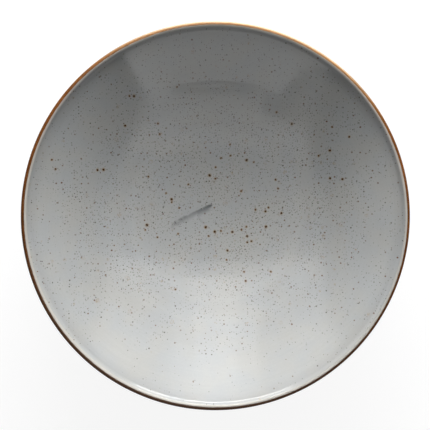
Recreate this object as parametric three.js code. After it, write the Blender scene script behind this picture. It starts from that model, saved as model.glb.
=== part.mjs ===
// Pasta plate: a round, rimless stoneware dish with a grey glaze and a brown edge.
// Millimetres, +Z up. The origin is the centre of the plane that the foot ring stands on.
// The fired clay is one turned body. Each coat of glaze is a shell that is fused to a stretch of it.
import * as THREE from "three";

const { degToRad, lerp, mapLinear } = THREE.MathUtils;

// Overall sizes
const RIM_DIAMETER = 250; // over the brown band, at the widest point
const HEIGHT = 48; // from the table to the top of the glazed lip

// Well and wall
const WELL_RADIUS = 85; // where the dished well runs into the flatter curve of the wall
const WALL_TURN = degToRad(3); // how much the wall steepens between the well and the lip
const BASE_CLEARANCE = 2; // from the table to the clay under the middle of the well
const BASE_THICKNESS = 5; // clay at the middle of the well
const WALL_THICKNESS = 6.6; // clay at the foot ring, where it is thickest

// Lip
const LIP_THICKNESS = 3.4; // clay, to which the wall tapers from the foot ring
const LIP_SLOPE = degToRad(62); // how steeply the lip turns up from the wall
const LIP_FILLET = 7; // inside radius of that turn

// Foot ring
const FOOT_DIAMETER = 112; // over the flat standing face and its rounded edge
const FOOT_WIDTH = 6; // the same face across the ring
const FOOT_ROUND = 1.2; // rounding of its two edges
const FOOT_DRAFT = degToRad(9); // how far the sides of the ring lean out of the upright
const FOOT_FILLET = 4; // where the sides run into the underside

// Coats of glaze
const GLAZE_THICKNESS = 0.4;
const BAND_THICKNESS = 0.4;
const BAND_WIDTH = 1.7; // of the brown band, seen from above
const BAND_DROP = 3.6; // from the top of the clay lip to the lower edge of the band
const BARE_HEIGHT = 2.4; // unglazed foot, above the table

// Facets: around the axis, and along each curve of the profile
const TURN_STEPS = 64;
const WELL_STEPS = 6;
const WALL_STEPS = 3;
const LIP_STEPS = 3;
const BAND_STEPS = 4;
const BASE_STEPS = 3;
const OUTSIDE_STEPS = 4;
const FILLET_STEPS = 2;
const ROUND_STEPS = 2;

// Exactness
const SLOPE_HALVINGS = 50; // enough to find a slope to the last digit
const SAME_PLACE = 1e-6; // points closer than this are one point

// Finishes
const CLAY = { color: 0xb9a78d, roughness: 0.85, metalness: 0 };
const GREY_GLAZE = { color: 0x9b9e9c, roughness: 0.15, metalness: 0 };
const BROWN_GLAZE = { color: 0x6e4420, roughness: 0.3, metalness: 0 };

// A point of the profile: its radius from the axis and its height above the table.
const point = (radius, height) => new THREE.Vector2(radius, height);

// The point of a bowl about a centre, where the bowl has the given slope: its lowest point has none.
const below = (centre, radius, slope) =>
  point(centre.x + radius * Math.sin(slope), centre.y - radius * Math.cos(slope));

const wellHeight = BASE_CLEARANCE + BASE_THICKNESS;
const clayRadius = RIM_DIAMETER / 2 - BAND_THICKNESS;
const lipRound = LIP_THICKNESS / 2;

// The lip for a given slope of the well's edge: where the wall ends and how steep it is there, the centre
// that both faces of the lip turn about, the centre of its rounded crown, and its top.
function lipFor(wellSlope) {
  const crownReach = LIP_FILLET + lipRound;
  const wallSlope = wellSlope + WALL_TURN;
  const turnRadius = clayRadius - lipRound - crownReach * Math.sin(LIP_SLOPE);
  const wallEnd = turnRadius + LIP_FILLET * Math.sin(wallSlope);
  const wellRise = WELL_RADIUS * Math.tan(wellSlope / 2);
  const wallRise = (wallEnd - WELL_RADIUS) * Math.tan((wellSlope + wallSlope) / 2);
  const turn = below(point(wallEnd, wellHeight + wellRise + wallRise), -LIP_FILLET, wallSlope);
  const crown = below(turn, crownReach, LIP_SLOPE);
  return { wallEnd, wallSlope, turn, crown, top: crown.y + lipRound };
}

// The slope of the well's edge that brings the glazed lip to HEIGHT, found by halving its range.
function slopeForHeight() {
  let [low, high] = [0, LIP_SLOPE];
  for (let halving = 0; halving < SLOPE_HALVINGS; halving += 1) {
    const middle = (low + high) / 2;
    if (lipFor(middle).top + GLAZE_THICKNESS < HEIGHT) low = middle;
    else high = middle;
  }
  return low;
}

const wellSlope = slopeForHeight();
const lip = lipFor(wellSlope);

// The inside of the clay is two bowls that meet at a tangent: the well, and the wall, which is far flatter.
const wellCurve = WELL_RADIUS / Math.sin(wellSlope);
const wallCurve = (lip.wallEnd - WELL_RADIUS) / (Math.sin(lip.wallSlope) - Math.sin(wellSlope));
const wellCentre = point(0, wellHeight + wellCurve);
const wallCentre = below(wellCentre, wellCurve - wallCurve, wellSlope);

function inside(radius) {
  const [centre, curve] = radius < WELL_RADIUS ? [wellCentre, wellCurve] : [wallCentre, wallCurve];
  const slope = Math.asin((radius - centre.x) / curve);
  return { slope, height: below(centre, curve, slope).y };
}

// The clay grows from the middle of the base to the foot ring, then tapers to the lip.
function thickness(radius) {
  const footRadius = FOOT_DIAMETER / 2;
  if (radius < footRadius) return lerp(BASE_THICKNESS, WALL_THICKNESS, radius / footRadius);
  const reach = Math.min(radius, lip.wallEnd);
  return mapLinear(reach, footRadius, lip.wallEnd, WALL_THICKNESS, LIP_THICKNESS);
}

// The underside follows the inside at that thickness.
function underside(radius) {
  const { slope, height } = inside(radius);
  return point(radius, height - thickness(radius) / Math.cos(slope));
}

function undersideRun(from, to, steps) {
  return Array.from({ length: steps + 1 }, (_, i) => underside(lerp(from, to, i / steps)));
}

// Points along an arc about a centre. Its angles are 0 straight out from the axis and grow upwards.
function arc(centre, radius, from, to, steps) {
  return new THREE.ArcCurve(centre.x, centre.y, radius, from, to, to < from).getPoints(steps);
}

// A rounded corner that leaves the way in and joins the way out at a distance from the corner.
function rounded(before, corner, after, distance, steps) {
  const towards = (end) => corner.clone().add(end.clone().sub(corner).setLength(distance));
  return new THREE.QuadraticBezierCurve(towards(before), corner, towards(after)).getPoints(steps);
}

// One side of the foot ring, from the edge of the standing face up to the underside.
// outward is 1 for the side that faces out and -1 for the one that faces the axis.
function footSide(outward) {
  const edge = point(FOOT_DIAMETER / 2 - (outward > 0 ? 0 : FOOT_WIDTH), 0);
  const lean = outward * Math.tan(FOOT_DRAFT);
  const corner = underside(edge.x + lean * underside(edge.x).y);
  const bare = edge.clone().lerp(corner, BARE_HEIGHT / corner.y);
  const along = underside(corner.x + outward * FOOT_FILLET);
  return { edge, corner, bare, fillet: rounded(edge, corner, along, FOOT_FILLET, FILLET_STEPS) };
}

const outerFoot = footSide(1);
const innerFoot = footSide(-1);

// Angles of the lip's outer face and crown where the brown band begins and ends.
const DOWN = -Math.PI / 2;
const outerTurn = LIP_FILLET + LIP_THICKNESS;
const bandFoot = DOWN + Math.acos((lip.turn.y - lip.top + BAND_DROP) / outerTurn);
const bandEdge = Math.acos((RIM_DIAMETER / 2 - BAND_WIDTH - lip.crown.x) / (lipRound + BAND_THICKNESS));

// The outline of the clay as stretches that share their ends, from the middle of the underside,
// round the foot and over the lip to the middle of the well.
const stretches = {
  base: [
    ...undersideRun(0, innerFoot.fillet.at(-1).x, BASE_STEPS).slice(0, -1),
    ...innerFoot.fillet.toReversed(),
    innerFoot.bare,
  ],
  foot: [
    innerFoot.bare,
    ...rounded(innerFoot.bare, innerFoot.edge, outerFoot.edge, FOOT_ROUND, ROUND_STEPS),
    ...rounded(innerFoot.edge, outerFoot.edge, outerFoot.bare, FOOT_ROUND, ROUND_STEPS),
    outerFoot.bare,
  ],
  wall: [
    outerFoot.bare,
    ...outerFoot.fillet,
    ...undersideRun(outerFoot.fillet.at(-1).x, lip.wallEnd, OUTSIDE_STEPS).slice(1, -1),
    ...arc(lip.turn, outerTurn, DOWN + lip.wallSlope, bandFoot, FILLET_STEPS),
  ],
  band: [
    ...arc(lip.turn, outerTurn, bandFoot, DOWN + LIP_SLOPE, 1).slice(0, -1),
    ...arc(lip.crown, lipRound, DOWN + LIP_SLOPE, bandEdge, BAND_STEPS),
  ],
  well: [
    ...arc(lip.crown, lipRound, bandEdge, LIP_SLOPE - DOWN, LIP_STEPS).slice(0, -1),
    ...arc(lip.turn, LIP_FILLET, DOWN + LIP_SLOPE, DOWN + lip.wallSlope, LIP_STEPS).slice(0, -1),
    ...arc(wallCentre, wallCurve, DOWN + lip.wallSlope, DOWN + wellSlope, WALL_STEPS).slice(0, -1),
    ...arc(wellCentre, wellCurve, DOWN + wellSlope, DOWN, WELL_STEPS),
  ],
};

// The whole outline, with each shared end once, and the outward normal at each of its points.
const outline = Object.values(stretches).flatMap((run, i) => (i ? run.slice(1) : run));
function normalAt(place) {
  const at = outline.findIndex((p) => p.distanceTo(place) < SAME_PLACE);
  const before = outline[at - 1] ?? point(-outline[1].x, outline[1].y);
  const after = outline[at + 1] ?? point(-outline.at(-2).x, outline.at(-2).y);
  const along = after.clone().sub(place).normalize().add(place.clone().sub(before).normalize()).normalize();
  return point(along.y, -along.x);
}

// A coat over one stretch: its back is the clay's own points, and its face is the same points lifted off.
function coatProfile(run, depth) {
  const face = run.map((p) => p.clone().addScaledVector(normalAt(p), depth));
  const back = run.toReversed();
  const onAxis = (p) => Math.abs(p.x) < SAME_PLACE;
  if (onAxis(run[0])) return [...face, ...back];
  if (onAxis(back[0])) return [...back, ...face];
  return [...face, ...back, face[0]];
}

function turned(name, profile, finish) {
  const solid = new THREE.LatheGeometry(profile, TURN_STEPS);
  const mesh = new THREE.Mesh(solid, new THREE.MeshStandardMaterial(finish));
  mesh.name = name;
  return mesh;
}

// LatheGeometry turns about Y, so the pieces stand in a group that brings Y upright.
const upright = new THREE.Group();
upright.rotation.x = Math.PI / 2;
upright.add(
  turned("stoneware_body", outline, CLAY),
  turned("well_glaze", coatProfile(stretches.well, GLAZE_THICKNESS), GREY_GLAZE),
  turned("rim_band", coatProfile(stretches.band, BAND_THICKNESS), BROWN_GLAZE),
  turned("outer_glaze", coatProfile(stretches.wall, GLAZE_THICKNESS), GREY_GLAZE),
  turned("base_glaze", coatProfile(stretches.base, GLAZE_THICKNESS), GREY_GLAZE),
);

const plate = new THREE.Group();
plate.add(upright);
export default plate;
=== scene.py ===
# Pasta plate: finely turned surfaces, glazes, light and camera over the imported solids.
# Details of the plate are in millimetres, with +Y towards the top of the photograph.
# The studio is in metres.
import math
from collections import namedtuple

import bpy
import numpy as np
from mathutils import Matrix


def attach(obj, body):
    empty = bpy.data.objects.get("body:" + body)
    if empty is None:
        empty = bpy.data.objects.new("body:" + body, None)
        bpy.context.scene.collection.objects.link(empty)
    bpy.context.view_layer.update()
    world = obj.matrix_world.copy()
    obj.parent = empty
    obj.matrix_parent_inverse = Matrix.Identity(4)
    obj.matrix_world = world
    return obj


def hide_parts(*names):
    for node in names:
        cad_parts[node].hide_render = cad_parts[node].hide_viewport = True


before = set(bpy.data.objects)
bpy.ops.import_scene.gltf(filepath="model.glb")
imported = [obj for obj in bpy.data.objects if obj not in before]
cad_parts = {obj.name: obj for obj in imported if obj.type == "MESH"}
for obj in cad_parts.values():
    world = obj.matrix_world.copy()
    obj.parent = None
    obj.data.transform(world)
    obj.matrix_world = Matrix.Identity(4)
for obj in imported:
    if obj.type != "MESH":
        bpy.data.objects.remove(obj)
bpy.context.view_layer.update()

# Turning: how finely the profile is smoothed and how closely its rings stand
MILLIMETRE = 0.001  # in metres
MICROMETRE = 0.001  # in millimetres
SEGMENTS = 288
TURNS = np.linspace(0, 2 * math.pi, SEGMENTS, endpoint=False)
SMOOTHING_ROUNDS = 6
CLAY_ROUNDS = 3
CLAY_STRETCH = 1.2  # the clay's outline is split to this before it is smoothed, so its flats stay flat
BACK_STEP = 6  # the back of a coat has one ring for so many of its face
FINE = 0.15  # between rings at the edges of the glaze and on the bare foot
CLOSE = 0.3  # between rings at the finger mark, the lip and the band
OPEN = 0.9  # between rings elsewhere
SPARSE = 6.0  # between rings of the clay where glaze covers it
MARKED_RADIUS = 34.0
LIP_RADIUS = 117.5
ON_AXIS = 1e-6  # a point nearer to the axis than this is on it
COAT = 0.4  # thickness of every coat
SUNK = 0.12  # how far the back of a coat sinks into the clay, so that no gap shows
SHARP_ANGLE = math.radians(50)

# Glaze edge above the bare foot
EDGE_REACH = 6.0  # of the profile, over which the edge's wander dies out
EDGE_WANDER = 0.9  # how far up the edge may draw
EDGE_WAVES = ((0.5, 3, 0.4), (0.3, 7, 1.9), (0.2, 13, 4.1))  # share, waves round the plate, phase
BASE_TURN = 1.0  # the base's edge wanders as the outside's does, but turned by this
BEAD_HEIGHT = 0.16  # glaze that gathers above the edge
BEAD_PLACE = 1.1
BEAD_WIDTH = 0.9
NOSE = 0.5  # over which the glaze rounds down to the clay

# Relief
RIPPLES = ((4.3, 0.004, 0.0), (6.7, 0.006, 1.3), (10.9, 0.008, 2.1))  # pitch, height, phase
RIPPLE_RADII = (9.0, 27.0)  # where the ripples set in and where they are full
RIPPLE_EDGE = (4.0, 12.0)  # the same, from the glaze's edge
RIPPLE_LIP = 4.0  # inside LIP_RADIUS, over which they die out
FOOT_TOP = 5.0  # the bare foot lies below this and between these radii
FOOT_INSIDE = 45.0
FOOT_OUTSIDE = 60.0
FILLETS_TOP = 10.0  # the fillets above the foot lie below this and between these radii
FILLETS_INSIDE = 40.0
FILLETS_OUTSIDE = 68.0
FILLETS_MARGIN = 6.0  # inside LIP_RADIUS, where the lip begins to turn up
FOOT_GROOVE_PITCH = 0.8
FOOT_GROOVE_DEPTH = 0.025

# Finger mark in the well: lines that its hollows start from, each with its depth, the width of its steep
# side, the width over which it runs out, how dark the painted shade in it is, and the length over which
# it sets in
FINGER_STROKES = (
    (((-1.9, 7.8), (-5.0, 7.0), (-8.9, 5.1), (-13.3, 2.8)), 0.36, 1.6, 5.0, 0.8, 0.6),
    (((-11.1, 3.9), (-14.9, 2.3), (-17.6, 0.6), (-20.4, -1.6)), 0.22, 1.6, 3.5, 0.45, 1.6),
    (((-17.0, 0.8), (-21.4, -0.6), (-25.2, -2.8), (-28.0, -4.8), (-29.7, -7.6)), 0.26, 1.9, 4.5, 0.46, 3.0),
    (((-12.5, 2.3), (-11.6, -1.5), (-9.7, -4.3), (-7.1, -5.9)), 0.05, 0.8, 1.4, 0.22, 1.5),
)
STROKE_SAMPLES = 60
HOLLOW_SET_IN = 1.0  # how much longer the hollow takes to set in than its painted shade
HOLLOW_TAIL = 0.7  # share of the line from which the hollow runs out
PAINTED_MARK_SHADE = "mark_shade"  # name of the attribute that holds the painted shade of the mark
MARK_SHADE_EDGE = (-0.3, 0.4)  # left of the line, where the painted shade begins and is full
MARK_SHADE_STEEP = 0.5  # share of the steep side from which it fades
MARK_SHADE_FADE = 0.8  # share of the run-out over which it does
MARK_SHADE_SLANT = 0.6  # how much later it sets in for each millimetre left of the line
MARK_SHADE_LEAD = -0.4  # where it starts to set in
MARK_SHADE_PAST = 0.4  # share of the steep side's width that it reaches past the ends
MARK_SHADE_LOSS = 0.35  # share that it loses along the line
MARK_SHADE_TAIL = (0.85, 1.1)  # shares of the line over which it ends
MARK_SHADE_PATCH = 2.2  # size of its patches, and the levels between which they thin it
MARK_SHADE_PATCH_BOUNDS = (0.15, 0.52)
WIPED_PLACE = (-2.1, -0.3, 0.0)  # beside the mark, where the finger wiped the specks off
WIPED_REACH = (4.0, 8.0)  # bare up to the first, and as elsewhere from the second on

# Spots that can be told apart in the photograph: place and diameter
IRON_SPOTS = (
    (-3.8, 26.6, 1.9), (20.6, 36.6, 1.7), (-6.3, -7.6, 1.8), (-0.4, -10.6, 1.7), (11.2, -10.8, 1.6),
    (33.4, -7.3, 1.7), (21.0, -13.5, 1.5), (23.8, -16.8, 1.4), (21.1, -17.6, 1.3), (-28.9, 10.8, 1.7),
    (-45.0, -6.2, 1.8), (39.7, 23.7, 1.4), (3.8, 38.0, 1.4), (8.0, -23.0, 1.4), (43.5, 1.6, 1.5),
    (33.1, 2.9, 1.5), (-52.8, 77.6, 1.6), (-58.8, 58.6, 1.5), (-73.0, 30.1, 1.7), (-76.8, 29.8, 1.5),
    (49.9, 59.9, 1.6), (-103.2, 30.1, 1.3), (74.9, 24.4, 1.4), (82.8, 23.8, 1.5), (74.6, 42.4, 1.5),
)
RUST_SPOTS = (
    (26.5, 4.0, 1.4), (17.0, 16.2, 1.4), (-44.0, 25.7, 1.3), (-28.7, 8.9, 1.2), (-23.9, 5.1, 1.2),
    (-17.8, 20.6, 1.3), (-0.1, 24.5, 1.3), (10.0, 39.5, 1.3), (9.7, 46.8, 1.3), (0.2, 32.0, 1.3),
    (25.3, 35.3, 1.2), (41.3, 17.9, 1.3), (35.0, 5.4, 1.3), (20.5, -7.4, 1.4), (17.3, -9.3, 1.3),
    (3.7, -10.0, 1.3), (-4.4, -13.6, 1.3), (7.5, -29.1, 1.2), (18.9, -36.9, 1.3), (20.0, -43.0, 1.4),
    (36.5, -36.9, 1.3), (-38.1, -14.2, 1.2), (-24.6, -12.0, 1.3), (-32.4, 14.9, 1.2), (-46.1, -9.3, 1.2),
    (-26.2, -48.4, 1.3), (-55.7, 77.6, 1.3), (-37.5, 60.3, 1.4), (-36.5, 53.4, 1.4), (-24.9, 83.8, 1.2),
    (40.0, 67.5, 1.4), (75.8, 57.6, 1.2), (67.5, 39.1, 1.3), (86.7, 51.1, 1.3), (-105.4, 36.0, 1.3),
)
# Their parts, in radii of the spot: where each sets in and is full
RUST_HALO = (1.9, 0.8)
RUST_BODY = (1.0, 0.6)
RUST_CORE = (0.8, 0.45)
IRON_HALO = (1.9, 0.9)
IRON_BODY = (1.0, 0.7)
HALO_STRENGTH = 0.65
CORE_STRENGTH = 0.85
SPOT_WARP = (0.9, 0.5)  # size and reach of what makes them uneven

# Scattered specks: the seed of their places, the size of the cells that may hold one each, their diameters,
# the share of the cells that do, how strong they are and how soft their edge is
Specks = namedtuple("Specks", "seed cell smallest largest share strength edge")
SMUDGES = Specks(seed=3, cell=7.0, smallest=1.4, largest=4.0, share=0.6, strength=0.85, edge=0.8)
PEPPER_SPECKS = Specks(seed=1, cell=1.5, smallest=0.4, largest=0.9, share=0.9, strength=0.75, edge=0.1)
GRIT_SPECKS = Specks(seed=4, cell=3.4, smallest=0.6, largest=1.1, share=0.75, strength=0.95, edge=0.1)
RUST_SPECKS = Specks(seed=2, cell=4.0, smallest=0.5, largest=1.3, share=0.65, strength=0.9, edge=0.1)
GROG = Specks(seed=5, cell=1.3, smallest=0.3, largest=0.7, share=0.5, strength=1.0, edge=0.1)
SEED_STEP = (37.1, 11.3, 23.7)  # from the places of one seed to those of the next
SPECK_WARP = (0.8, 0.14)  # size and reach of what makes them uneven
NOISE_MIDDLE = 0.5  # the level that all noise varies about
FAINTEST = 0.5  # strength of the faintest specks
PATCH_SIZE = 14.0  # of the patches where specks are many or few, and the levels between which they are
PATCH_BOUNDS = (0.25, 0.65)
GRAIN_SIZE = 0.9  # of the grains that break up a smudge
GRAIN_BOUNDS = (0.45, 0.65)
OUTSIDE_SHARE = 0.6  # of the specks, on the outside and the base

# Share of the specks that the wall lacks, and the radii over which it comes to lack them
WALL_LOSS = 0.62
WALL_REACH = (70.0, 115.0)
FRONT_LOSS = 0.92
FRONT_REACH = (25.0, 110.0)
FRONT_SIDE = (0.0, -1.0, 0.0)
FRONT_BOUNDS = (0.35, 0.9)  # how squarely a place lies on that side, where its loss sets in and is whole

# Colours as they are seen on a screen
COOL_GREY = (156, 158, 158)
WARM_GREY = (159, 159, 156)
CREAM = (170, 166, 158)
BROWN = (112, 62, 18)
DARK_BROWN = (70, 38, 14)
# painted shade on the brown edge's front, away from the lamps
SHADED_UMBER = (98, 76, 62)
# tan of the brown's streaks, and painted light on its back, which faces the lamps
STREAK_AND_LIGHT_TAN = (160, 116, 64)
# painted highlight on the brown edge's outer rim, on the side that faces the lamps
HIGHLIGHT_GOLD = (174, 158, 134)
PEPPER = (88, 86, 80)
GRIT = (74, 68, 60)
RUST = (94, 62, 40)
IRON = (62, 40, 24)
AMBER = (140, 116, 82)
# painted shade in the hollows of the finger mark
MARK_SHADE_COLOUR = (62, 66, 70)
CLAY = (186, 168, 142)
CLAY_DARK = (150, 130, 104)

# Grey glaze: sizes of its clouds, drifts and mottling, and how much lighter and darker they make it
CLOUD_SIZE = 17.0
CLOUD_BOUNDS = (0.3, 0.7)
DRIFT_SIZE = 28.0
DRIFT_DEPTH = 0.05
MOTTLE_SIZE = 1.4
MOTTLE_DEPTH = 0.05
BRUSH_WIDTH = 0.9
BRUSH_DEPTH = 0.04
BRUSH_REACH = 3.0
RIM_RADIUS = 125.0
# Levels below 1 from 114.5 millimetres out to the lip are painted shade.
RING_TONES_AND_LIP_SHADE = ((0, 1.0), (49, 1.0), (56, 1.06), (60.5, 0.98), (68.5, 1.06), (77, 0.97), (90, 1.0),
              (111, 1.0), (114.5, 0.99), (117.5, 0.91), (121, 0.87), (125, 0.87))  # radius and level
TONE_RANGE = 2.0  # the ramp holds the levels divided by this, so that none is over 1
GLAZE_ROUGHNESS = 0.09
ROUGHNESS_RANGE = 0.06
GLOSS_SIZE = 12.0  # of its rougher and smoother places
GLAZE_BUMP = 0.012
SKIN_SIZE = 5.0  # of the ripples in its skin

# Lip: where the grey breaks to cream and then to brown
CREAM_BOUNDS = (121.0, 121.95)
BROWN_BOUNDS = (122.58, 123.03)
LINE_SIZE = 3.5  # of the waves in those lines
LINE_WANDER = 0.22
LINE_SWAY = 0.31  # how much further out than elsewhere the lines run on the sway side
LINE_OVAL = 0.16  # and on that side and the opposite one
SWAY_SIDE = (0.91, -0.42, 0.0)

# Brown glaze of the edge
BROWN_SIZE = 9.0  # of its lighter and darker places
STREAK_SIZE = 1.2
STREAK_BOUNDS = (0.45, 0.8)
STREAK_STRENGTH = 0.3
LIT_SIDE = (0.17, 0.985, 0.0)  # the side that faces the lamps, where the brown is painted lighter
SHADED_UMBER_BOUNDS = (-0.2, -0.9)  # how squarely a place lies on the lit side, where the umber of painted shade sets in and is full
SHADED_UMBER_STRENGTH = 0.6
LIT_TAN_BOUNDS = (0.5, 1.0)  # the same for tan and gold, painted light
LIT_TAN_STRENGTH = 0.45
HIGHLIGHT_FRINGE_BOUNDS = (123.4, 124.6)  # on the lit side, the brown's outer edge runs to gold, a painted highlight
HIGHLIGHT_FRINGE_STRENGTH = 0.9
RUN_BOUNDS = (46.9, 45.2)  # heights below which the brown has run together and is darker
RUN_STRENGTH = 0.85
BAND_ROUGHNESS = 0.4
BAND_SPECULAR = 0.06
BAND_GRAIN = 2.0

# Bare clay: sizes of its lighter and darker places, its grit and its grain
CLAY_SIZE = 6.0
CLAY_GRIT_SIZE = 0.4
CLAY_GRIT_DEPTH = 0.12
CLAY_GRAIN_SIZE = 0.3
CLAY_ROUGHNESS = 0.85
CLAY_BUMP = 0.06

# Studio, in metres
FRAME_WIDTH = 0.27605  # width of the picture at the height of the rim
CAMERA_DISTANCE = 1.3  # above the rim
CAMERA_X = -0.00021
CAMERA_Y = 0.00045
RIM_HEIGHT = 0.046
SENSOR_WIDTH = 36.0  # millimetres
FLOOR_SIDE = 30.0
FLOOR_WHITE = 0.88  # strength of the floor's own white, to which the light on it adds the rest
FLOOR_LIGHT = 0.5  # its strength as light on the plate
FLOOR_SHARE = 0.15  # of the light on the floor that it throws back
HORIZON_WHITE = math.radians(5.5)  # the backdrop is white up to this height
HORIZON_DIM = math.radians(10)  # and dim from this one on
CEILING_LEVEL = 0.02
WHITE = (1, 1, 1, 1)
# Lamps: middle, the point faced, width, height and radiance. Those that overlap lie in planes of their own.
LAMPS = {
    "key": ((0.016, 0.9, 0.36), (0.016, 0.0, 0.36), 0.84, 0.52, 18.8),
    "key_shine": ((0.016, 0.88, 0.105), (0.016, 0.0, 0.105), 0.8, 0.09, 34.0),
    "key_wing": ((0.53, 0.73, 0.275), (0.0, 0.0, 0.275), 0.32, 0.35, 12.0),
    "top": ((0.0, -0.12, 1.03), (0.0, -0.12, 0.0), 1.3, 1.15, 0.6),
    "strip_core": ((0.0, 0.99, 1.0), (0.0, 0.99, 0.0), 0.3, 1.22, 1.1),
    "strip": ((0.0, 0.99, 1.01), (0.0, 0.99, 0.0), 0.6, 1.22, 1.2),
    "strip_haze": ((0.0, 0.94, 1.02), (0.0, 0.94, 0.0), 1.6, 1.32, 1.6),
    "ceiling_core": ((0.075, -0.8175, 1.04), (0.075, -0.8175, 0.0), 0.85, 0.245, 0.7),
    "ceiling_haze": ((-0.07, -0.68, 1.05), (-0.07, -0.68, 0.0), 1.32, 0.52, 0.65),
    "front_panel": ((-0.105, -1.0, 0.735), (-0.105, 0.0, 0.735), 1.35, 0.67, 1.6),
    "front_left": ((-0.46, -1.0, 1.095), (-0.46, 0.0, 1.095), 0.2, 0.05, 1.6),
    "front_right": ((0.465, -1.0, 1.095), (0.465, 0.0, 1.095), 0.21, 0.05, 1.6),
    "left_panel": ((-1.0, -0.24, 0.7), (0.0, -0.24, 0.7), 0.48, 0.6, 0.6),
}
# Lamps that the gloss doesn't show, and lamps that only the gloss shows
SOFT_LAMPS = ("key", "key_wing")
SHEEN_LAMPS = ("key_shine", "strip_core", "strip", "strip_haze", "ceiling_core", "ceiling_haze",
               "front_panel", "front_left", "front_right", "left_panel")


# Profiles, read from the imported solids


def section_links(node):
    """Neighbours along a solid's cut face: each place is (radius, height) in whole micrometres."""
    micrometres = 1e6
    on_plane = 1e-7
    links = {}
    mesh = node.data
    for polygon in mesh.polygons:
        corners = [mesh.vertices[i].co for i in polygon.vertices]
        cut = [c for c in corners if abs(c.y) < on_plane and c.x > -on_plane]
        places = {(round(c.x * micrometres), round(c.z * micrometres)) for c in cut}
        for place in places:
            links.setdefault(place, set()).update(places - {place})
    return links


def path_along(links, places):
    """The places in their order along the section, in millimetres, from the end nearest the axis."""
    near = {place: links[place] & places for place in places}
    path = [min(place for place in places if len(near[place]) == 1)]
    while ahead := near[path[-1]] - set(path):
        path.append(ahead.pop())
    return np.array(path, dtype=float) * MICROMETRE


clay_links = section_links(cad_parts["stoneware_body"])


def coat_face(name):
    """The outer face of a coat: those of its points that aren't the clay's own."""
    links = section_links(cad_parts[name])
    return path_along(links, set(links) - set(clay_links))


def smoothed(points, rounds=SMOOTHING_ROUNDS):
    """The cubic B-spline that the points control, by halving. Ends stay, and the axis acts as a mirror."""
    for _ in range(rounds):
        kept = points.copy()
        kept[1:-1] = (points[:-2] + 6 * points[1:-1] + points[2:]) / 8
        for end, inner in ((0, 1), (-1, -2)):
            if points[end][0] == 0:
                kept[end][1] = (3 * points[end][1] + points[inner][1]) / 4
        finer = np.empty((2 * len(points) - 1, 2))
        finer[0::2] = kept
        finer[1::2] = (points[:-1] + points[1:]) / 2
        points = finer
    return points


def split(points, longest):
    """The same outline with its long stretches split evenly."""
    pieces = [points[:1]]
    for start, end in zip(points[:-1], points[1:]):
        parts = math.ceil(np.linalg.norm(end - start) / longest)
        steps = np.arange(1, parts + 1)[:, None] / parts
        pieces.append(start + (end - start) * steps)
    return np.concatenate(pieces)


class Profile:
    """A smooth stretch of the outline. The clay lies on its left, so its normals point out of the clay."""

    def __init__(self, points):
        self.points = points
        steps = np.linalg.norm(np.diff(points, axis=0), axis=1)
        self.lengths = np.concatenate(([0.0], np.cumsum(steps)))
        self.length = self.lengths[-1]
        along = np.gradient(points, self.lengths, axis=0)
        along /= np.linalg.norm(along, axis=1)[:, None]
        self.normals = np.stack((along[:, 1], -along[:, 0]), axis=1)

    def at(self, place, lift=0.0):
        """Radius and height at places along the profile, lifted off it."""
        found = [np.interp(place, self.lengths, self.points[:, i]) for i in (0, 1)]
        normal = [np.interp(place, self.lengths, self.normals[:, i]) for i in (0, 1)]
        return found[0] + normal[0] * lift, found[1] + normal[1] * lift

    def on_axis(self, place):
        """Which of the places are on the axis."""
        radius, _ = self.at(place)
        return np.abs(radius) < ON_AXIS

    def stations(self, spacing):
        """Places along the profile whose gaps follow spacing(radius, place)."""
        gaps = spacing(self.points[:, 0], self.lengths)
        passed = np.diff(self.lengths) / (gaps[1:] + gaps[:-1]) * 2
        counts = np.concatenate(([0.0], np.cumsum(passed)))
        shares = np.linspace(0, 1, math.ceil(counts[-1]) + 1)
        return np.interp(shares * counts[-1], counts, self.lengths)


def outline_profiles():
    """The faces of the coats. The three that meet are smoothed as one curve, so that no crease shows."""
    outer = coat_face("outer_glaze")
    band = coat_face("rim_band")[::-1]
    well = coat_face("well_glaze")[::-1]
    clay = split(path_along(clay_links, set(clay_links)), CLAY_STRETCH)
    joined = smoothed(np.concatenate((outer, band[1:], well[1:])))
    finer = 2**SMOOTHING_ROUNDS
    band_start = (len(outer) - 1) * finer
    band_end = band_start + (len(band) - 1) * finer
    return {
        "outer_glaze": Profile(joined[: band_start + 1]),
        "rim_band": Profile(joined[band_start : band_end + 1]),
        "well_glaze": Profile(joined[band_end:]),
        "base_glaze": Profile(smoothed(coat_face("base_glaze"))),
        "stoneware_body": Profile(smoothed(clay, CLAY_ROUNDS)),
    }


# Relief, as lifts off the profile in millimetres


def eased(value, start, end):
    """0 before start, 1 after end, and a smooth rise between."""
    share = np.clip((value - start) / (end - start), 0, 1)
    return share * share * (3 - 2 * share)


def through(points, samples):
    """A smooth line through the points, as a Catmull-Rom curve."""
    short_of_end = 1e-9
    knots = np.array(points)
    knots = np.concatenate((2 * knots[:1] - knots[1:2], knots, 2 * knots[-1:] - knots[-2:-1]))
    place = np.linspace(0, len(points) - 1 - short_of_end, samples)
    first = place.astype(int)
    t = (place - first)[:, None]
    a, b, c, d = (knots[first + i] for i in range(4))
    return b + t * ((c - a) + t * ((2 * a - 5 * b + 4 * c - d) + t * (3 * b - 3 * c + d - a))) / 2


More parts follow.
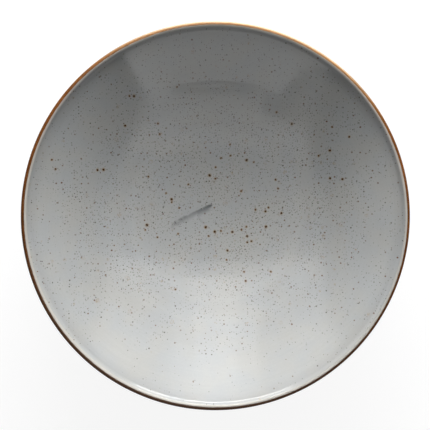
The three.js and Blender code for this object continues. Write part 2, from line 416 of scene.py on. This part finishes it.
def beside(x, y, points):
    """For places near a line: how far left of it, past its ends and along it they are, and its length."""
    line = through(points, STROKE_SAMPLES)
    along = np.gradient(line, axis=0)
    along /= np.linalg.norm(along, axis=1)[:, None]
    gap_x = x[..., None] - line[:, 0]
    gap_y = y[..., None] - line[:, 1]
    nearest = np.argmin(gap_x**2 + gap_y**2, axis=-1)
    gap_x = np.take_along_axis(gap_x, nearest[..., None], -1)[..., 0]
    gap_y = np.take_along_axis(gap_y, nearest[..., None], -1)[..., 0]
    left = gap_y * along[nearest, 0] - gap_x * along[nearest, 1]
    past = np.abs(gap_x * along[nearest, 0] + gap_y * along[nearest, 1])
    run = np.concatenate(([0.0], np.cumsum(np.linalg.norm(np.diff(line, axis=0), axis=1))))
    return left, past, run[nearest], run[-1]


def stroke_hollow(x, y, points, depth, steep, fade, _, start):
    """The hollow on the left of one line of the finger mark: steep along the line, then running out."""
    left, past, along, length = beside(x, y, points)
    fall = np.sin(np.clip(left / steep, 0, 1) * math.pi / 2)
    runout = 1 - eased(left, steep, steep + fade)
    set_in = eased(along, 0, HOLLOW_SET_IN + start)
    tail = 1 - eased(along, HOLLOW_TAIL * length, length)
    ends = set_in * tail * (1 - eased(past, 0, steep))
    return -depth * fall * runout * ends


def stroke_shade(x, y, points, _, steep, fade, dark, start):
    """How much painted shade lies beside one line of the mark: most where the finger came down."""
    left, past, along, length = beside(x, y, points)
    faded = eased(left, MARK_SHADE_STEEP * steep, steep + MARK_SHADE_FADE * fade)
    edge = eased(left, *MARK_SHADE_EDGE) * (1 - faded)
    set_in = eased(along - MARK_SHADE_SLANT * left, MARK_SHADE_LEAD, start) * (1 - eased(past, 0, MARK_SHADE_PAST * steep))
    ended = eased(along, MARK_SHADE_TAIL[0] * length, MARK_SHADE_TAIL[1] * length)
    tail = (1 - MARK_SHADE_LOSS * along / length) * (1 - ended)
    return dark * edge * set_in * tail


def strongest(effect, pick, x, y):
    """What the strokes of the finger mark come to where they overlap."""
    return pick([effect(x, y, *stroke) for stroke in FINGER_STROKES], axis=0)


def ripples(radius, turn):
    """Faint throwing rings, which wind slowly outwards."""
    waves = [high * np.sin(2 * math.pi * radius / pitch + turn + phase) for pitch, high, phase in RIPPLES]
    return sum(waves) * eased(radius, *RIPPLE_RADII)


def well_relief(profile, place, turn):
    """The throwing rings and the finger mark."""
    radius, _ = profile.at(place)
    x = radius * np.cos(turn)
    y = radius * np.sin(turn)
    lift = ripples(radius, turn) * (1 - eased(radius, LIP_RADIUS - RIPPLE_LIP, LIP_RADIUS))
    near = radius < MARKED_RADIUS
    lift[near] += strongest(stroke_hollow, np.min, x[near], y[near])
    return lift


def glaze_edge(from_edge):
    """The lift near the lower edge of a coat: a bead above it, then a round nose down to the clay."""
    bead = BEAD_HEIGHT * np.exp(-(((from_edge - BEAD_PLACE) / BEAD_WIDTH) ** 2))
    nose = np.sqrt(np.clip(1 - (1 - np.clip(from_edge / NOSE, 0, 1)) ** 2, 0, 1))
    return (COAT + bead) * nose - COAT


def edge_wander(turn):
    """How far the edge of the glaze draws up, round the plate."""
    waves = sum(share * np.sin(count * turn + phase) for share, count, phase in EDGE_WAVES)
    return EDGE_WANDER * (waves + 1) / 2


# Turned pieces


def loop_faces(rings):
    """Faces between rings of vertex numbers that follow a section. A ring of one vertex is on the axis."""
    faces = []
    for ring, after in zip(rings, rings[1:] + rings[:1]):
        if len(ring) == 1 and len(after) == 1:
            continue
        ring_next, after_next = np.roll(ring, -1), np.roll(after, -1)
        if len(ring) == 1:
            faces += [(ring[0], b, a) for a, b in zip(after, after_next)]
        elif len(after) == 1:
            faces += [(a, b, after[0]) for a, b in zip(ring, ring_next)]
        else:
            faces += list(zip(ring, ring_next, after_next, after))
    return [tuple(int(i) for i in face) for face in faces]


def turned_piece(name, grids):
    """One closed piece from grids of (radius, height) over rings and turns, in order round its section."""
    corners = []
    rings = []
    count = 0
    for radius, height in grids:
        for r, z in zip(radius, height):
            ring = np.stack((r * np.cos(TURNS), r * np.sin(TURNS), z), axis=1)
            if np.all(np.abs(r) < ON_AXIS):
                ring = ring[:1]
            corners.append(ring)
            rings.append(np.arange(count, count + len(ring)))
            count += len(ring)
    mesh = bpy.data.meshes.new(name)
    mesh.from_pydata((np.concatenate(corners) * MILLIMETRE).tolist(), [], loop_faces(rings))
    mesh.shade_smooth()
    mesh.set_sharp_from_angle(angle=SHARP_ANGLE)
    piece = bpy.data.objects.new(name, mesh)
    bpy.context.scene.collection.objects.link(piece)
    return piece


def coat_piece(name, profile, stations, lift, shift=None):
    """A coat: its lifted face, then its back, which follows the clay the other way."""
    place, turn = np.meshgrid(stations, TURNS, indexing="ij")
    if shift is not None:
        place = shift(place, turn)
    face = profile.at(place, lift(place, turn))
    kept = np.unique(np.append(np.arange(0, len(stations), BACK_STEP), len(stations) - 1))[::-1]
    back = profile.at(place[kept], -COAT - SUNK)
    face[0][profile.on_axis(place)] = 0
    back[0][profile.on_axis(place[kept])] = 0
    return turned_piece(name, (face, back))


def well_piece(profile):
    """The inside, with the painted shade of the finger mark at each of its points."""

    def spacing(radius, _):
        return np.where((radius < MARKED_RADIUS) | (radius > LIP_RADIUS), CLOSE, OPEN)

    def lift(place, turn):
        return well_relief(profile, place, turn)

    piece = coat_piece("glazed_well", profile, profile.stations(spacing), lift)
    corners = np.empty(3 * len(piece.data.vertices))
    piece.data.vertices.foreach_get("co", corners)
    x, y = corners.reshape(-1, 3)[:, :2].T / MILLIMETRE
    near = np.hypot(x, y) < MARKED_RADIUS
    dark = np.zeros_like(x)
    dark[near] = strongest(stroke_shade, np.max, x[near], y[near])
    piece.data.attributes.new(PAINTED_MARK_SHADE, "FLOAT", "POINT").data.foreach_set("value", dark)
    return piece


def band_piece(profile):
    """The brown edge, which is smooth."""
    stations = profile.stations(lambda radius, _: np.full_like(radius, CLOSE))
    return coat_piece("brown_rim", profile, stations, lambda place, turn: np.zeros_like(place))


def outer_piece(profile):
    """The outside. Its profile starts at the edge above the foot."""

    def spacing(_, place):
        return np.where(place < EDGE_REACH, FINE, OPEN)

    def shift(place, turn):
        return place + edge_wander(turn) * (1 - eased(place, 0, EDGE_REACH))

    def lift(place, turn):
        radius, _ = profile.at(place)
        return glaze_edge(place - edge_wander(turn)) + ripples(radius, turn) * eased(place, *RIPPLE_EDGE)

    return coat_piece("glazed_outside", profile, profile.stations(spacing), lift, shift)


def base_piece(profile):
    """The base inside the foot. Its profile ends at the edge above the foot."""

    def wander(turn):
        return edge_wander(turn + BASE_TURN)

    def spacing(_, place):
        return np.where(place > profile.length - EDGE_REACH, FINE, OPEN)

    def shift(place, turn):
        return place - wander(turn) * eased(place, profile.length - EDGE_REACH, profile.length)

    def lift(place, turn):
        radius, _ = profile.at(place)
        from_edge = profile.length - wander(turn) - place
        return glaze_edge(from_edge) + ripples(radius, turn) * eased(from_edge, *RIPPLE_EDGE)

    return coat_piece("glazed_base", profile, profile.stations(spacing), lift, shift)


def clay_piece(profile):
    """The clay, with fine turning grooves on the bare foot."""
    radius, height = profile.points.T
    foot = (height < FOOT_TOP) & (radius > FOOT_INSIDE) & (radius < FOOT_OUTSIDE)
    fillets = (height < FILLETS_TOP) & (radius > FILLETS_INSIDE) & (radius < FILLETS_OUTSIDE)
    turning = fillets | (radius > LIP_RADIUS - FILLETS_MARGIN)

    def spacing(_, place):
        at_turn = np.interp(place, profile.lengths, turning) > 0
        at_foot = np.interp(place, profile.lengths, foot) > 0
        return np.where(at_foot, FINE, np.where(at_turn, OPEN, SPARSE))

    place, turn = np.meshgrid(profile.stations(spacing), TURNS, indexing="ij")
    grooves = FOOT_GROOVE_DEPTH * (np.sin(2 * math.pi * place / FOOT_GROOVE_PITCH + turn) - 1) / 2
    at_foot = np.interp(place, profile.lengths, foot.astype(float))
    face = profile.at(place, grooves * at_foot)
    face[0][profile.on_axis(place)] = 0
    return turned_piece("clay_body", (face,))


# Materials


def linear(colour):
    """A screen colour as the linear colour that the shaders work in, by the sRGB formula."""
    full, knee, slope, offset, power = 255, 0.04045, 12.92, 0.055, 2.4
    shares = [c / full for c in colour]
    curve = [c / slope if c <= knee else ((c + offset) / (1 + offset)) ** power for c in shares]
    return (*curve, 1.0)


class Shade:
    """A material's node tree, with short calls for the nodes that the glazes and the clay share."""

    def __init__(self, name):
        self.material = bpy.data.materials.new(name)
        self.material.use_nodes = True
        self.tree = self.material.node_tree
        self.tree.nodes.clear()
        metres = self.node("TexCoord").outputs["Object"]
        self.place = self.scaled(metres, 1 / MILLIMETRE)
        self.flat = self.vector("MULTIPLY", self.place, (1, 1, 0))
        self.radius = self.node("VectorMath", {0: self.flat}, operation="LENGTH").outputs["Value"]
        self.around = self.vector("NORMALIZE", self.flat)

    def node(self, kind, values=None, **settings):
        made = self.tree.nodes.new("ShaderNode" + kind)
        for name, value in settings.items():
            setattr(made, name, value)
        for socket, value in (values or {}).items():
            if isinstance(value, bpy.types.NodeSocket):
                self.tree.links.new(value, made.inputs[socket])
            else:
                made.inputs[socket].default_value = value
        return made

    def math(self, operation, a, b=0.0, clamp=False):
        return self.node("Math", {0: a, 1: b}, operation=operation, use_clamp=clamp).outputs[0]

    def times_plus(self, value, factor, added):
        return self.node("Math", {0: value, 1: factor, 2: added}, operation="MULTIPLY_ADD").outputs[0]

    def vector(self, operation, a, b=(0, 0, 0)):
        return self.node("VectorMath", {0: a, 1: b}, operation=operation).outputs["Vector"]

    def scaled(self, vector, factor):
        return self.node("VectorMath", {0: vector, "Scale": factor}, operation="SCALE").outputs["Vector"]

    def distance(self, a, b):
        return self.node("VectorMath", {0: a, 1: b}, operation="DISTANCE").outputs["Value"]

    def towards(self, side):
        """How squarely a place lies on a side of the plate: 1 on it, -1 on the opposite one."""
        return self.node("VectorMath", {0: self.around, 1: side}, operation="DOT_PRODUCT").outputs["Value"]

    def mix(self, share, a, b):
        return self.node("Mix", {0: share, 6: a, 7: b}, data_type="RGBA").outputs[2]

    def multiplied(self, colour, by):
        values = {0: 1.0, 6: colour, 7: by}
        return self.node("Mix", values, data_type="RGBA", blend_type="MULTIPLY").outputs[2]

    def laid(self, colour, tint, share, strength=1.0):
        """The colour with a tint over it, as far as share and strength say."""
        return self.mix(self.math("MULTIPLY", share, strength), colour, linear(tint))

    def rise(self, value, start, end):
        """0 up to start, 1 from end on, smooth between."""
        values = {"Value": value, "From Min": start, "From Max": end}
        return self.node("MapRange", values, interpolation_type="SMOOTHSTEP").outputs[0]

    def noise(self, place, size, detail=2.0, roughness=0.5):
        values = {"Vector": place, "Scale": 1 / size, "Detail": detail, "Roughness": roughness}
        return self.node("TexNoise", values).outputs[0]

    def shifted(self, place, seed):
        return self.vector("ADD", place, tuple(seed * step for step in SEED_STEP))

    def warped(self, place, size, reach):
        """Places pushed about by noise, which makes round spots uneven."""
        push = self.node("TexNoise", {"Vector": place, "Scale": 1 / size}).outputs[1]
        push = self.vector("SUBTRACT", push, (NOISE_MIDDLE, NOISE_MIDDLE, NOISE_MIDDLE))
        return self.vector("ADD", place, self.scaled(push, 2 * reach))

    def brushed(self):
        """Long streaks round the axis."""
        along = self.scaled(self.around, BRUSH_REACH)
        across = self.node("CombineXYZ", {2: self.math("DIVIDE", self.radius, BRUSH_WIDTH)}).outputs[0]
        return self.noise(self.vector("ADD", along, across), 1.0, detail=3.0, roughness=0.6)

    def tinted(self, colour, level, depth):
        """The colour, lighter and darker by depth as level goes from 1 to 0."""
        gain = self.times_plus(level, 2 * depth, 1 - depth)
        return self.multiplied(colour, self.node("CombineColor", {0: gain, 1: gain, 2: gain}).outputs[0])

    def specks(self, kind, share, dimensions="3D"):
        """Scattered specks of a kind, in some of their cells: up to its strength inside them, 0 outside."""
        place = self.shifted(self.warped(self.place, *SPECK_WARP), kind.seed)
        values = {"Vector": place, "Scale": 1 / kind.cell}
        cells = self.node("TexVoronoi", values, voronoi_dimensions=dimensions)
        draws = self.node("SeparateColor", {0: cells.outputs["Color"]})
        left_out = self.math("SUBTRACT", 1.0, self.math("MULTIPLY", share, kind.share))
        chosen = self.math("GREATER_THAN", draws.outputs[0], left_out)
        size = self.math("MULTIPLY", draws.outputs[1], draws.outputs[1])
        size = self.times_plus(size, (kind.largest - kind.smallest) / 2, kind.smallest / 2)
        inside = self.math("SUBTRACT", size, self.math("MULTIPLY", cells.outputs["Distance"], kind.cell))
        solid = self.math("DIVIDE", inside, kind.edge, clamp=True)
        strong = self.times_plus(draws.outputs[2], 1 - FAINTEST, FAINTEST)
        shown = self.math("MULTIPLY", solid, self.math("MULTIPLY", chosen, strong))
        return self.math("MULTIPLY", shown, kind.strength)

    def finish(self, colour, roughness, bump, bump_depth, specular=0.5):
        """The surface. bump is a height from 0 to 1, worth bump_depth millimetres."""
        values = {"Height": bump, "Distance": bump_depth * MILLIMETRE, "Strength": 1.0}
        raised = self.node("Bump", values)
        values = {"Base Color": colour, "Roughness": roughness, "Normal": raised.outputs[0]}
        surface = self.node("BsdfPrincipled", values)
        surface.inputs["Specular IOR Level"].default_value = specular
        output = self.node("OutputMaterial")
        self.tree.links.new(surface.outputs[0], output.inputs["Surface"])
        return self.material


def grey_ground(shade):
    """The glaze's grey: warm and cool clouds, fine mottling and brushed rings."""
    clouds = shade.rise(shade.noise(shade.place, CLOUD_SIZE), *CLOUD_BOUNDS)
    colour = shade.mix(clouds, linear(COOL_GREY), linear(WARM_GREY))
    colour = shade.tinted(colour, shade.noise(shade.place, DRIFT_SIZE, detail=3.0), DRIFT_DEPTH)
    mottle = shade.noise(shade.place, MOTTLE_SIZE, detail=3.0, roughness=0.7)
    colour = shade.tinted(colour, mottle, MOTTLE_DEPTH)
    return shade.tinted(colour, shade.brushed(), BRUSH_DEPTH)


def speckled(shade, colour, share, dimensions="3D"):
    """Pepper, grit and rust over the ground. share is how many of the places for a speck have one."""
    patches = shade.rise(shade.noise(shade.place, PATCH_SIZE), *PATCH_BOUNDS)
    patchy = shade.math("MULTIPLY", share, patches)
    grains = shade.noise(shade.place, GRAIN_SIZE, detail=3.0, roughness=0.8)
    grains = shade.rise(grains, *GRAIN_BOUNDS)
    smudges = shade.math("MULTIPLY", shade.specks(SMUDGES, patchy, dimensions), grains)
    colour = shade.laid(colour, AMBER, smudges)
    colour = shade.laid(colour, PEPPER, shade.specks(PEPPER_SPECKS, patchy, dimensions))
    colour = shade.laid(colour, GRIT, shade.specks(GRIT_SPECKS, patchy, dimensions))
    return shade.laid(colour, RUST, shade.specks(RUST_SPECKS, share, dimensions))


def nearest_spot(shade, place, spots):
    """How far the nearest of the spots is, in its own radii."""
    nearest = None
    for x, y, diameter in spots:
        away = shade.math("DIVIDE", shade.distance(place, (x, y, 0)), diameter / 2)
        nearest = away if nearest is None else shade.math("MINIMUM", nearest, away)
    return nearest


def iron_spotted(shade, colour):
    """The large spots, dark or rusty in the middle, each with an amber halo."""
    place = shade.warped(shade.flat, *SPOT_WARP)
    rusty = nearest_spot(shade, place, RUST_SPOTS)
    colour = shade.laid(colour, AMBER, shade.rise(rusty, *RUST_HALO), HALO_STRENGTH)
    colour = shade.laid(colour, RUST, shade.rise(rusty, *RUST_BODY))
    colour = shade.laid(colour, IRON, shade.rise(rusty, *RUST_CORE), CORE_STRENGTH)
    dark = nearest_spot(shade, place, IRON_SPOTS)
    colour = shade.laid(colour, AMBER, shade.rise(dark, *IRON_HALO), HALO_STRENGTH)
    return shade.laid(colour, IRON, shade.rise(dark, *IRON_BODY))


def finger_mark_shaded(shade, colour):
    """Painted shade, darker and bluer, in the hollows of the finger mark."""
    mark_shade = shade.node("Attribute", attribute_name=PAINTED_MARK_SHADE).outputs["Fac"]
    patches = shade.noise(shade.place, MARK_SHADE_PATCH, detail=3.0, roughness=0.6)
    return shade.laid(colour, MARK_SHADE_COLOUR, mark_shade, shade.rise(patches, *MARK_SHADE_PATCH_BOUNDS))


def brown_ground(shade):
    """Iron glaze: umber as painted shade at the front, tan and gold as painted light at the back, dark
    where it ran down.
    """
    clouds = shade.noise(shade.place, BROWN_SIZE, detail=4.0)
    colour = shade.mix(clouds, linear(DARK_BROWN), linear(BROWN))
    streaks = shade.noise(shade.place, STREAK_SIZE, detail=3.0, roughness=0.7)
    colour = shade.laid(colour, STREAK_AND_LIGHT_TAN, shade.rise(streaks, *STREAK_BOUNDS), STREAK_STRENGTH)
    # Painted light and shade: tan and gold towards the lamps, umber away from them.
    back = shade.towards(LIT_SIDE)
    colour = shade.laid(colour, SHADED_UMBER, shade.rise(back, *SHADED_UMBER_BOUNDS), SHADED_UMBER_STRENGTH)
    lit_share = shade.rise(back, *LIT_TAN_BOUNDS)
    colour = shade.laid(colour, STREAK_AND_LIGHT_TAN, lit_share, LIT_TAN_STRENGTH)
    # Painted highlight: gold along the outer edge on the lit side.
    outer = shade.rise(shade.radius, *HIGHLIGHT_FRINGE_BOUNDS)
    highlight_fringe = shade.math("MULTIPLY", shade.math("MULTIPLY", lit_share, lit_share), outer)
    colour = shade.laid(colour, HIGHLIGHT_GOLD, highlight_fringe, HIGHLIGHT_FRINGE_STRENGTH)
    height = shade.node("SeparateXYZ", {0: shade.place}).outputs["Z"]
    return shade.laid(colour, DARK_BROWN, shade.rise(height, *RUN_BOUNDS), RUN_STRENGTH)


def lip_broken(shade, colour):
    """Near the lip the grey breaks to cream, and the brown of the edge bleeds in along an uneven line."""
    waves = shade.noise(shade.place, LINE_SIZE, detail=4.0, roughness=0.65)
    wander = shade.math("SUBTRACT", waves, NOISE_MIDDLE)
    side = shade.towards(SWAY_SIDE)
    oval = shade.times_plus(shade.math("MULTIPLY", side, side), 2 * LINE_OVAL, -LINE_OVAL)
    sway = shade.math("ADD", oval, shade.math("MULTIPLY", side, LINE_SWAY))
    radius = shade.times_plus(wander, 2 * LINE_WANDER, shade.math("SUBTRACT", shade.radius, sway))
    colour = shade.laid(colour, CREAM, shade.rise(radius, *CREAM_BOUNDS))
    return shade.mix(shade.rise(radius, *BROWN_BOUNDS), colour, brown_ground(shade))


def ring_toned_and_lip_shaded(shade, colour):
    """Faintly lighter and darker rings round the well, and painted shade that darkens the glaze towards the
    lip.
    """
    tone = shade.node("ValToRGB", {0: shade.math("DIVIDE", shade.radius, RIM_RADIUS)})
    stops = tone.color_ramp.elements
    tone.color_ramp.interpolation = "B_SPLINE"
    for radius, _ in RING_TONES_AND_LIP_SHADE[1:-1]:
        stops.new(radius / RIM_RADIUS)
    for stop, (_, level) in zip(stops, RING_TONES_AND_LIP_SHADE):
        share = level / TONE_RANGE
        stop.color = (share, share, share, 1)
    return shade.multiplied(colour, shade.scaled(tone.outputs[0], TONE_RANGE))


def glaze_finish(shade, colour):
    """Gloss, a little uneven, over a faintly rippled skin."""
    uneven = shade.noise(shade.place, GLOSS_SIZE, detail=3.0)
    roughness = shade.times_plus(uneven, ROUGHNESS_RANGE, GLAZE_ROUGHNESS - ROUGHNESS_RANGE / 2)
    return shade.finish(colour, roughness, shade.noise(shade.place, SKIN_SIZE), GLAZE_BUMP)


def well_share(shade):
    """How many of the well's places for a speck have one: fewer on the wall, and fewest on its front."""
    lost = shade.math("MULTIPLY", shade.rise(shade.radius, *WALL_REACH), WALL_LOSS)
    lost_front = shade.math("MULTIPLY", shade.rise(shade.radius, *FRONT_REACH), FRONT_LOSS)
    front = shade.rise(shade.towards(FRONT_SIDE), *FRONT_BOUNDS)
    more = shade.math("MULTIPLY", front, shade.math("SUBTRACT", lost_front, lost))
    share = shade.math("SUBTRACT", 1.0, shade.math("ADD", lost, more))
    wiped = shade.distance(shade.place, WIPED_PLACE)
    return shade.math("MULTIPLY", share, shade.rise(wiped, *WIPED_REACH))


def well_material():
    shade = Shade("speckled_grey_glaze")
    colour = ring_toned_and_lip_shaded(shade, grey_ground(shade))
    colour = finger_mark_shaded(shade, speckled(shade, colour, well_share(shade), "2D"))
    return glaze_finish(shade, lip_broken(shade, iron_spotted(shade, colour)))


def band_material():
    """Iron brown, drier than the glaze."""
    shade = Shade("brown_iron_glaze")
    colour = lip_broken(shade, grey_ground(shade))
    grain = shade.noise(shade.place, BAND_GRAIN)
    return shade.finish(colour, BAND_ROUGHNESS, grain, GLAZE_BUMP, BAND_SPECULAR)


def outside_material(name):
    shade = Shade(name)
    return glaze_finish(shade, speckled(shade, grey_ground(shade), OUTSIDE_SHARE))


def clay_material():
    shade = Shade("bare_stoneware")
    clouds = shade.noise(shade.place, CLAY_SIZE, detail=4.0)
    colour = shade.mix(clouds, linear(CLAY), linear(CLAY_DARK))
    grit = shade.noise(shade.place, CLAY_GRIT_SIZE, detail=3.0, roughness=0.8)
    colour = shade.tinted(colour, grit, CLAY_GRIT_DEPTH)
    colour = shade.laid(colour, RUST, shade.specks(GROG, 1.0))
    grain = shade.noise(shade.place, CLAY_GRAIN_SIZE, detail=3.0, roughness=0.7)
    return shade.finish(colour, CLAY_ROUGHNESS, grain, CLAY_BUMP)


# Studio


def shown_white(tree):
    """The strength of the white that the floor and the backdrop show: less of it is light on the plate."""
    path = tree.nodes.new("ShaderNodeLightPath")
    seen = path.outputs["Is Camera Ray"]
    for kind in ("Is Glossy Ray", "Is Transmission Ray"):
        either = tree.nodes.new("ShaderNodeMath")
        either.operation = "MAXIMUM"
        tree.links.new(seen, either.inputs[0])
        tree.links.new(path.outputs[kind], either.inputs[1])
        seen = either.outputs[0]
    strength = tree.nodes.new("ShaderNodeMapRange")
    strength.inputs["To Min"].default_value = FLOOR_LIGHT
    strength.inputs["To Max"].default_value = FLOOR_WHITE
    tree.links.new(seen, strength.inputs["Value"])
    return strength.outputs[0]


def white_floor():
    """A floor that shows white, so that only a faint part of it is the light and shadow on it."""
    half = FLOOR_SIDE / 2
    corners = [(-half, -half, 0), (half, -half, 0), (half, half, 0), (-half, half, 0)]
    mesh = bpy.data.meshes.new("floor")
    mesh.from_pydata(corners, [], [(0, 1, 2, 3)])
    floor = bpy.data.objects.new("floor", mesh)
    bpy.context.scene.collection.objects.link(floor)
    material = bpy.data.materials.new("white_floor")
    material.use_nodes = True
    tree = material.node_tree
    surface = tree.nodes["Principled BSDF"]
    surface.inputs["Base Color"].default_value = (FLOOR_SHARE, FLOOR_SHARE, FLOOR_SHARE, 1)
    surface.inputs["Roughness"].default_value = 1.0
    surface.inputs["Specular IOR Level"].default_value = 0.0
    surface.inputs["Emission Color"].default_value = WHITE
    tree.links.new(shown_white(tree), surface.inputs["Emission Strength"])
    mesh.materials.append(material)


def pale_world():
    """A backdrop that is as white as the floor near the horizon, under a dark ceiling."""
    world = bpy.data.worlds.new("studio")
    world.use_nodes = True
    tree = world.node_tree
    direction = tree.nodes.new("ShaderNodeTexCoord")
    upward = tree.nodes.new("ShaderNodeSeparateXYZ")
    tree.links.new(direction.outputs["Generated"], upward.inputs[0])
    level = tree.nodes.new("ShaderNodeMapRange")
    level.interpolation_type = "SMOOTHSTEP"
    level.inputs["From Min"].default_value = math.sin(HORIZON_WHITE)
    level.inputs["From Max"].default_value = math.sin(HORIZON_DIM)
    tree.links.new(shown_white(tree), level.inputs["To Min"])
    level.inputs["To Max"].default_value = CEILING_LEVEL
    tree.links.new(upward.outputs["Z"], level.inputs["Value"])
    background = tree.nodes["Background"]
    background.inputs["Color"].default_value = WHITE
    tree.links.new(level.outputs[0], background.inputs["Strength"])
    bpy.context.scene.world = world


def facing(place, target):
    """The rotation of a lamp at a place that shines at a target."""
    away = [t - p for p, t in zip(place, target)]
    level = math.hypot(away[0], away[1])
    turn = math.atan2(away[1], away[0]) - math.pi / 2 if level else 0.0
    return math.atan2(level, -away[2]), 0.0, turn


def add_lamps():
    for name, (place, target, width, height, radiance) in LAMPS.items():
        lamp = bpy.data.lights.new(name, "AREA")
        lamp.shape = "RECTANGLE"
        lamp.size = width
        lamp.size_y = height
        lamp.energy = radiance * math.pi * width * height
        holder = bpy.data.objects.new(name, lamp)
        holder.location = place
        holder.rotation_euler = facing(place, target)
        holder.visible_camera = False
        holder.visible_glossy = name not in SOFT_LAMPS
        holder.visible_diffuse = name not in SHEEN_LAMPS
        bpy.context.scene.collection.objects.link(holder)


def add_camera():
    """A camera that looks straight down, as the photograph does."""
    camera = bpy.data.cameras.new("camera")
    camera.sensor_width = SENSOR_WIDTH
    camera.lens = SENSOR_WIDTH * CAMERA_DISTANCE / FRAME_WIDTH
    holder = bpy.data.objects.new("camera", camera)
    holder.location = (CAMERA_X, CAMERA_Y, RIM_HEIGHT + CAMERA_DISTANCE)
    bpy.context.scene.collection.objects.link(holder)
    bpy.context.scene.camera = holder


# The plate


def dress(piece, node, material):
    piece.data.materials.append(material)
    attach(piece, "root")
    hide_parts(node)


add_camera()
profiles = outline_profiles()
dress(clay_piece(profiles["stoneware_body"]), "stoneware_body", clay_material())
dress(well_piece(profiles["well_glaze"]), "well_glaze", well_material())
dress(band_piece(profiles["rim_band"]), "rim_band", band_material())
outside = outside_material("outer_grey_glaze")
dress(outer_piece(profiles["outer_glaze"]), "outer_glaze", outside)
base = outside_material("base_grey_glaze")
dress(base_piece(profiles["base_glaze"]), "base_glaze", base)
white_floor()
pale_world()
add_lamps()
bpy.context.scene.view_settings.view_transform = "Standard"
